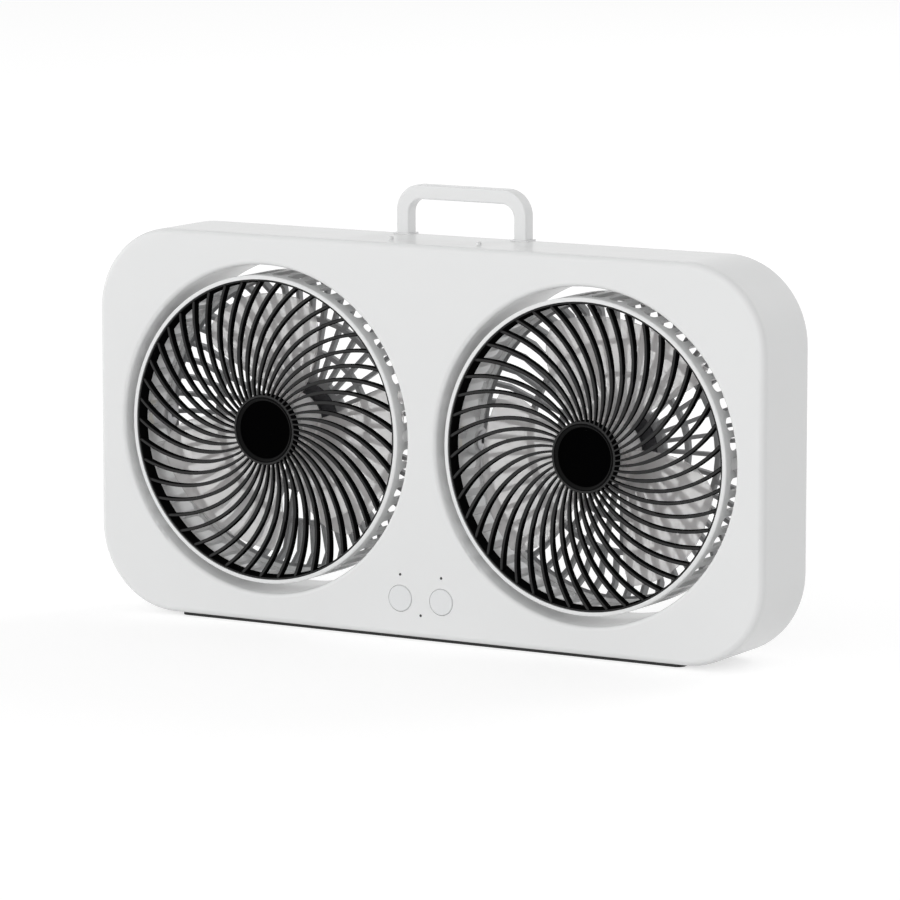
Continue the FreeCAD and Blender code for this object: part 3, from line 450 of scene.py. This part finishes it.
SLOT_FINISHES: dict[str, Finish] = {
    "case_white": CASE,
    "button_white": BUTTON,
    "grille_black": GRILLE,
    "guard_grey": GUARD,
    "blade_smoke": BLADE,
    "rubber_black": RUBBER,
    "screw_steel": SCREW,
    "pin_steel": PIN,
    "motor_dark": CAN,
    "bush_plastic": BUSH,
    "board_green": BOARD,
    "switch_black": SWITCH,
    "lamp_dark": LAMP,
    "cell_wrap": CELL,
    "tray_grey": TRAY,
}


def mesh_piece(name: str, points: Array, faces: Array, finish: Finish) -> bpy.types.Object:
    """Make an object from arrays.

    Points that meet are welded, which closes poles and seams, and the faces are turned outwards.

    Args:
        name: the piece's name.
        points: corners, one row each.
        faces: quads as rows of four corner numbers.
        finish: its surface.

    Returns:
        The new object, at the origin.
    """
    mesh = bpy.data.meshes.new(name)
    mesh.from_pydata(points.tolist(), [], faces.tolist())
    shell = bmesh.new()
    shell.from_mesh(mesh)
    bmesh.ops.remove_doubles(shell, verts=shell.verts, dist=WELD)
    bmesh.ops.recalc_face_normals(shell, faces=shell.faces)
    shell.to_mesh(mesh)
    shell.free()
    mesh.polygons.foreach_set("use_smooth", np.ones(len(mesh.polygons), bool))
    mesh.materials.append(finish.material())
    thing = bpy.data.objects.new(name, mesh)
    bpy.context.scene.collection.objects.link(thing)
    return thing


def face_vectors(piece: bpy.types.Object, kind: str) -> Array:
    """One vector of each face, a row per face.

    Args:
        piece: the object.
        kind: the vector's name, such as normal or center.

    Returns:
        The vectors.
    """
    flat = np.empty(len(piece.data.polygons) * 3)
    piece.data.polygons.foreach_get(kind, flat)
    return flat.reshape(-1, 3)


def second_finish(piece: bpy.types.Object, finish: Finish, chosen: Array) -> None:
    """Give some faces of a piece another finish.

    Args:
        piece: the object.
        finish: the other finish.
        chosen: true for each face that takes it.
    """
    piece.data.materials.append(finish.material())
    piece.data.polygons.foreach_set("material_index", chosen.astype(np.int32))


def grid_faces(rows: int, columns: int, rows_close: bool, columns_close: bool) -> Array:
    """Quads of a grid of points.

    Args:
        rows: points along the first parameter.
        columns: points along the second parameter.
        rows_close: whether the first parameter comes back to its start.
        columns_close: whether the second parameter does.

    Returns:
        Corner numbers, one quad per row.
    """
    row_steps = np.arange(rows if rows_close else rows - 1)
    column_steps = np.arange(columns if columns_close else columns - 1)
    i, j = np.meshgrid(row_steps, column_steps, indexing="ij")
    below, after = (i + 1) % rows, (j + 1) % columns
    near, far = i * columns, below * columns
    return np.stack([near + j, far + j, far + after, near + after], axis=-1).reshape(-1, 4)


def joined(parts: Iterable[tuple[Array, Array]]) -> tuple[Array, Array]:
    """Put several point and face arrays into one.

    Args:
        parts: pairs of points and faces.

    Returns:
        All points and all faces, renumbered.
    """
    points, faces, start = [], [], 0
    for part_points, part_faces in parts:
        points.append(part_points)
        faces.append(part_faces + start)
        start += len(part_points)
    return np.concatenate(points), np.concatenate(faces)


def turned(profile: Array, centre: Vector, steps: int, loop: bool = True) -> tuple[Array, Array]:
    """A profile of radius and Y turned once about the head's axis.

    Args:
        profile: rows of radius and Y, in order so that the faces point outwards.
        centre: the axis, as X and Z of the head.
        steps: points around the turn.
        loop: whether the profile closes on itself; otherwise it starts and ends on the axis.

    Returns:
        Points and faces.
    """
    angle = np.linspace(0.0, 2 * np.pi, steps, endpoint=False)[:, None]
    radius, depth = profile[:, 0][None, :], profile[:, 1][None, :]
    across, up = centre.x + radius * np.cos(angle), centre.z + radius * np.sin(angle)
    points = np.stack([across, np.broadcast_to(depth, across.shape), up], axis=-1)
    faces = grid_faces(steps, len(profile), rows_close=True, columns_close=loop)
    return points.reshape(-1, 3), faces


def rounded(corners: Array, radius: float, steps: int = 4, loop: bool = True) -> Array:
    """An outline with each corner rounded by a quadratic curve.

    Args:
        corners: rows of two numbers.
        radius: how far from the corner each curve starts, at most half a side.
        steps: points on each corner.
        loop: whether the outline is closed; an open one keeps its two ends.

    Returns:
        The rounded outline, a row per point.
    """
    before = np.roll(corners, 1, axis=0) - corners
    after = np.roll(corners, -1, axis=0) - corners
    length_before = np.linalg.norm(before, axis=1, keepdims=True)
    length_after = np.linalg.norm(after, axis=1, keepdims=True)
    start = corners + before / length_before * np.minimum(radius, CORNER_SHARE * length_before)
    end = corners + after / length_after * np.minimum(radius, CORNER_SHARE * length_after)
    t = np.linspace(0.0, 1.0, steps)[None, :, None]
    pull = 2 * t * (1 - t) * corners[:, None]
    curve = (1 - t) ** 2 * start[:, None] + pull + t**2 * end[:, None]
    if loop:
        return curve.reshape(-1, 2)
    return np.concatenate([corners[:1], curve[1:-1].reshape(-1, 2), corners[-1:]])


@dataclass
class SpiralGrille:
    """The front grille of one head: spiral ribs between a rim and a flush hub ring."""

    side: Side
    rib_count: int = 45
    rib_width: float = 2.5 * MM
    rib_depth: float = 6.0 * MM
    rib_taper: float = 0.85
    rib_round: float = 1.0 * MM
    hub_rib_width: float = 0.55
    hub_rib_depth: float = 0.45
    full_width_radius: float = 46 * MM
    rib_turn: float = 44.5
    rib_angle: float = 1.28
    rib_angle_share: float = 0.5
    hub_overlap: float = 1.2 * MM
    ring_radius: float = 100 * MM
    rim_width: float = 2.5 * MM
    rim_front: float = 1.2 * MM
    hub_radius: float = 23.3 * MM
    hub_rim: float = 1.7 * MM
    cap_depth: float = 3.2 * MM
    edge_round: float = 0.5 * MM
    front_facing: float = 0.8
    stations: int = 34
    rim_steps: int = 192
    hub_steps: int = 128
    centre: Vector = field(init=False)
    front: float = field(init=False)
    rear: float = field(init=False)
    rim_outer: float = field(init=False)

    def __post_init__(self) -> None:
        """Read the head's axis and the grille's place from the frame."""
        low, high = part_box(f"{self.side.word}_front_grille")
        self.centre = (low + high) / 2
        self.front, self.rear = low.y, high.y
        self.rim_outer = (high.x - low.x) / 2

    def ribs(self) -> tuple[Array, Array]:
        """All ribs at once.

        The middle line of a rib lies at an angle that grows evenly with the radius. A rounded box
        is carried along it, square to the line, and is drawn together to a point inside the rim
        and the hub. Its depth grows evenly from the hub to the rim; its width grows with the
        radius until it is full.

        Returns:
            Points and faces.
        """
        inner, outer = self.hub_radius - self.hub_overlap, self.rim_outer - self.rim_width / 2
        radius = np.linspace(inner, outer, self.stations)
        radius = np.concatenate([radius[:1], radius, radius[-1:]])
        size = np.ones(len(radius))
        size[[0, -1]] = 0.0
        hand = self.side.value
        first = self.rib_angle if self.side is Side.LEFT else 180 - self.rib_angle
        pitch = 2 * np.pi / self.rib_count
        start = np.radians(first) + pitch * np.arange(self.rib_count)
        turn = np.radians(self.rib_turn)
        turned_by = hand * turn * (radius / self.ring_radius - self.rib_angle_share)
        angle = start[:, None] + turned_by[None, :]
        # Direction of the line: outwards by one, sideways by radius times the turn per length
        sideways = hand * turn * radius / self.ring_radius
        length = np.sqrt(1 + sideways**2)
        outward = np.stack([np.cos(angle), np.sin(angle)], axis=-1)
        around = np.stack([-np.sin(angle), np.cos(angle)], axis=-1)
        across = (around - sideways[None, :, None] * outward) / length[None, :, None]
        half, depth = self.rib_width / 2, self.rib_depth
        back = half * self.rib_taper
        box = np.array([[-half, 0.0], [half, 0.0], [back, depth], [-back, depth]])
        loop = rounded(box, self.rib_round)[::-1]
        middle = np.array([0.0, depth / 2])
        wide = np.clip(radius / self.full_width_radius, self.hub_rib_width, 1.0)
        way = (radius - inner) / (outer - inner)
        deep = self.hub_rib_depth + (1 - self.hub_rib_depth) * way
        full = middle + (loop - middle)[None] * size[:, None, None]
        section = full * np.stack([wide, deep], axis=-1)[:, None, :]
        line = radius[None, :, None] * outward
        flat = line[:, :, None, :] + across[:, :, None, :] * section[None, :, :, :1]
        depth_y = np.broadcast_to(self.front + section[None, :, :, 1], flat.shape[:3])
        x, z = self.centre.x + flat[..., 0], self.centre.z + flat[..., 1]
        points = np.stack([x, depth_y, z], axis=-1)
        one = grid_faces(len(radius), len(loop), rows_close=False, columns_close=True)
        offset = np.arange(self.rib_count)[:, None, None] * (len(radius) * len(loop))
        return points.reshape(-1, 3), (one[None] + offset).reshape(-1, 4)

    def rim(self) -> tuple[Array, Array]:
        """The rim: a rounded box with a narrower front, turned about the axis."""
        outer = self.rim_outer
        inner, edge = outer - self.rim_width, outer - self.rim_front
        corners = np.array(
            [[edge, self.front], [outer, self.front], [outer, self.rear], [inner, self.rear]]
        )
        return turned(rounded(corners, self.edge_round)[::-1], self.centre, self.rim_steps)

    def hub(self) -> tuple[Array, Array]:
        """The hub: a flat ring round the seat of the disc, turned about the axis."""
        seat = self.front + self.cap_depth
        seat_radius = self.hub_radius - self.hub_rim
        rear = self.front + self.rib_depth
        corners = np.array(
            [
                [0.0, seat],
                [seat_radius, seat],
                [seat_radius, self.front],
                [self.hub_radius, self.front],
                [self.hub_radius + self.edge_round, rear],
                [0.0, rear],
            ]
        )
        profile = rounded(corners, self.edge_round, loop=False)[::-1]
        return turned(profile, self.centre, self.hub_steps, loop=False)

    def build(self) -> bpy.types.Object:
        """Make the grille and put it in place of its solid.

        Returns:
            The grille's object.
        """
        points, faces = joined([self.ribs(), self.rim(), self.hub()])
        word = self.side.word
        piece = mesh_piece(f"{word}_spiral_grille", points, faces, GRILLE)
        normals = face_vectors(piece, "normal")
        # Faces turned away from the front take the black without reflection, which paints shade on
        # them
        second_finish(piece, GRILLE_PAINTED_SHADE, normals[:, 1] > -self.front_facing)
        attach(piece, f"{word}_head")
        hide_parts(f"{word}_front_grille")
        return piece


@dataclass
class HubDisc:
    """The plain dished disc in a grille's hub."""

    side: Side
    slope: float = 4.0 * MM
    depth: float = 1.65 * MM
    steepness: float = 2.8
    edge: float = 0.2 * MM
    dish_share: float = 0.5
    slope_points: int = 16
    floor_points: int = 4
    steps: int = 128

    def build(self) -> bpy.types.Object:
        """Turn the dished profile about the head's axis.

        The floor is flat; over the slope the rise grows with a power of the way from the floor to
        the edge. The outer share of the slope is glossier.

        Returns:
            The disc's object.
        """
        word = self.side.word
        low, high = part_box(f"{word}_hub_cap")
        centre = (low + high) / 2
        radius = (high.x - low.x) / 2
        slope_end = radius - self.edge
        share = np.linspace(0.0, 1.0, self.slope_points)
        sunk = self.depth * (1 - share**self.steepness)
        slope = np.stack([slope_end - self.slope * (1 - share), low.y + sunk], axis=1)
        floor_radius = np.linspace(0.0, slope_end - self.slope, self.floor_points, endpoint=False)
        floor_y = np.full(self.floor_points, low.y + self.depth)
        floor = np.stack([floor_radius, floor_y], axis=1)
        rim = np.array([[radius, low.y + self.edge], [radius, high.y], [0.0, high.y]])
        profile = np.concatenate([floor, slope, rim])[::-1]
        points, faces = turned(profile, centre, self.steps, loop=False)
        piece = mesh_piece(f"{word}_hub_disc", points, faces, DISC)
        middles = face_vectors(piece, "center")
        reach = np.hypot(middles[:, 0] - centre.x, middles[:, 2] - centre.z)
        second_finish(piece, DISH, reach > slope_end - self.slope * self.dish_share)
        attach(piece, f"{word}_head")
        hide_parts(f"{word}_hub_cap")
        return piece


@dataclass
class SmoothSkin:
    """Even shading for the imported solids: welded corners, sharp edges only where they have them."""

    sharp_angle: float = 32.0
    weld: float = 0.002 * MM

    def group(self) -> bpy.types.GeometryNodeTree:
        """A node group that welds the loose triangles and marks the edges over the angle as sharp.

        Returns:
            The group.
        """
        name = "even_shading"
        found = bpy.data.node_groups.get(name)
        if found:
            return found
        tree = bpy.data.node_groups.new(name, "GeometryNodeTree")
        tree.interface.new_socket("Geometry", in_out="INPUT", socket_type="NodeSocketGeometry")
        tree.interface.new_socket("Geometry", in_out="OUTPUT", socket_type="NodeSocketGeometry")
        net = Net(tree)
        given = net.add("NodeGroupInput")
        welded = net.add(
            "GeometryNodeMergeByDistance",
            None,
            {"Geometry": given, "Distance": self.weld},
        )
        soft = net.add(
            "GeometryNodeSetShadeSmooth",
            {"domain": "FACE"},
            {"Geometry": welded, "Shade Smooth": True},
        )
        sharp = net.add("GeometryNodeInputMeshEdgeAngle").above(math.radians(self.sharp_angle))
        shaded = net.add(
            "GeometryNodeSetShadeSmooth",
            {"domain": "EDGE"},
            {"Geometry": soft, "Selection": sharp, "Shade Smooth": False},
        )
        net.add("NodeGroupOutput", None, {0: shaded})
        return tree

    def put_on(self, thing: bpy.types.Object) -> None:
        """Give a node the group and normals that follow its larger faces.

        Args:
            thing: the node's object.
        """
        shading = thing.modifiers.new("even_shading", "NODES")
        shading.node_group = self.group()
        normals = thing.modifiers.new("face_normals", "WEIGHTED_NORMAL")
        normals.keep_sharp = True


@dataclass
class Dresser:
    """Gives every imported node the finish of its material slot."""

    skin: SmoothSkin = field(default_factory=SmoothSkin)

    def dress(self) -> int:
        """Dress all nodes.

        Returns:
            How many were dressed.
        """
        slots = {entry["node"]: entry["material_slot"] for entry in frame["record"]["subparts"]}
        for name, thing in frame["nodes"].items():
            thing.data.materials.clear()
            thing.data.materials.append(SLOT_FINISHES[slots[name]].material())
            self.skin.put_on(thing)
        return len(slots)


def bearing(azimuth: float, height: float) -> Vector:
    """The direction from the fan to something round it.

    Args:
        azimuth: degrees from the front, positive to the right.
        height: degrees above the fan.

    Returns:
        The direction, one metre long.
    """
    turn, rise = math.radians(azimuth), math.radians(height)
    level = math.cos(rise)
    return Vector((math.sin(turn) * level, -math.cos(turn) * level, math.sin(rise)))


@dataclass(frozen=True)
class SoftBox:
    """One lamp: where it stands in degrees and metres, its width and height, and its watts."""

    name: str
    azimuth: float
    height: float
    distance: float
    size: tuple[float, float]
    power: float


SOFT_BOXES = (
    SoftBox("key", -35.0, 12.0, 8.0, (12.0, 4.0), 240.0),
    SoftBox("fill", 25.0, 12.0, 6.0, (4.0, 4.0), 64.0),
    SoftBox("side", -75.0, 14.0, 8.0, (4.0, 4.0), 70.0),
    SoftBox("back", 160.0, 30.0, 6.0, (3.0, 3.0), 87.0),
)


@dataclass
class Studio:
    """A pale floor, soft light and the camera of the photograph."""

    yaw: float = 30.33
    pitch: float = 8.51
    distance: float = 3.530
    target: tuple[float, float, float] = (0.0222, -0.032, 0.128)
    focal_pixels: float = 5457.9
    image_width: int = 900
    sensor: float = 36.0
    view_end: float = 50.0
    horizon: float = 0.55
    zenith: float = 0.53
    floor_paint: float = 0.9
    floor_seen: float = 0.5
    floor_glow: float = 0.65
    floor_gap: float = 0.2 * MM
    floor_half: float = 12.0

    def camera(self) -> None:
        """Stand the camera at the photograph's angle."""
        back = bearing(self.yaw, self.pitch)
        data = bpy.data.cameras.new("camera")
        data.sensor_width = self.sensor
        data.lens = self.focal_pixels / self.image_width * self.sensor
        data.clip_end = self.view_end
        thing = bpy.data.objects.new("camera", data)
        thing.location = Vector(self.target) + back * self.distance
        thing.rotation_euler = back.to_track_quat("Z", "Y").to_euler()
        bpy.context.scene.collection.objects.link(thing)
        bpy.context.scene.camera = thing

    def lamp(self, box: SoftBox) -> None:
        """Stand one soft box, far enough away to fall evenly over the whole fan.

        Gloss mirrors the white surroundings alone, so that no soft box clips on the pale case.

        Args:
            box: the lamp.
        """
        towards = bearing(box.azimuth, box.height)
        data = bpy.data.lights.new(box.name, "AREA")
        data.shape = "RECTANGLE"
        data.size, data.size_y = box.size
        data.energy = box.power
        thing = bpy.data.objects.new(box.name, data)
        thing.visible_glossy = False
        thing.location = Vector(self.target) + towards * box.distance
        thing.rotation_euler = towards.to_track_quat("Z", "Y").to_euler()
        bpy.context.scene.collection.objects.link(thing)

    @staticmethod
    def seen(net: Net) -> Signal:
        """One for what the camera sees, also by way of gloss or clear plastic; else zero."""
        rays = ("Is Camera Ray", "Is Glossy Ray", "Is Transmission Ray")
        camera, gloss, clear = (net.add("ShaderNodeLightPath", output=ray) for ray in rays)
        return camera.highest(gloss).highest(clear)

    def world(self) -> None:
        """A sky that looks white, also in gloss, and lights a little more from the sides."""
        world = bpy.data.worlds.new("studio")
        world.use_nodes = True
        bpy.context.scene.world = world
        net = Net(world.node_tree)
        direction = net.add("ShaderNodeTexCoord", output="Generated")
        height = net.add("ShaderNodeSeparateXYZ", None, {0: direction}, output="Z")
        light = self.horizon - height * (self.horizon - self.zenith)
        seen = self.seen(net)
        strength = seen + (1 - seen) * light
        sky = net.add("ShaderNodeBackground", None, {"Color": WHITE, "Strength": strength})
        net.add("ShaderNodeOutputWorld", None, {"Surface": sky})

    def floor(self) -> None:
        """A wide pale floor that looks white and keeps a faint shadow of the fan."""
        half = self.floor_half
        corners = [(-half, -half, 0), (half, -half, 0), (half, half, 0), (-half, half, 0)]
        mesh = bpy.data.meshes.new("floor")
        mesh.from_pydata(corners, [], [(0, 1, 2, 3)])
        material = bpy.data.materials.new("floor_paint")
        material.use_nodes = True
        net = Net(material.node_tree)
        paint = net.add("ShaderNodeBsdfDiffuse", None, {"Color": (self.floor_paint,) * 3})
        shadow = net.add("ShaderNodeBsdfDiffuse", None, {"Color": (self.floor_seen,) * 3})
        glow = net.add("ShaderNodeEmission", None, {"Color": WHITE, "Strength": self.floor_glow})
        white = net.add("ShaderNodeAddShader", None, {0: shadow, 1: glow})
        shown = net.add("ShaderNodeMixShader", None, {0: self.seen(net), 1: paint, 2: white})
        net.add("ShaderNodeOutputMaterial", None, {"Surface": shown})
        mesh.materials.append(material)
        thing = bpy.data.objects.new("floor", mesh)
        thing.location.z = -self.floor_gap
        bpy.context.scene.collection.objects.link(thing)

    def build(self) -> None:
        """Set up the whole studio."""
        bpy.context.scene.view_settings.view_transform = "Standard"
        self.camera()
        self.world()
        self.floor()
        for box in SOFT_BOXES:
            self.lamp(box)


def main() -> None:
    """Dress the fan and light it."""
    logging.basicConfig(level=logging.INFO, format="%(message)s")
    LOG.info("dressed %d nodes", Dresser().dress())
    for side in Side:
        for maker in (SpiralGrille(side), HubDisc(side)):
            piece = maker.build()
            LOG.info("made %s with %d faces", piece.name, len(piece.data.polygons))
    Studio().build()


if __name__ == "__main__":
    main()
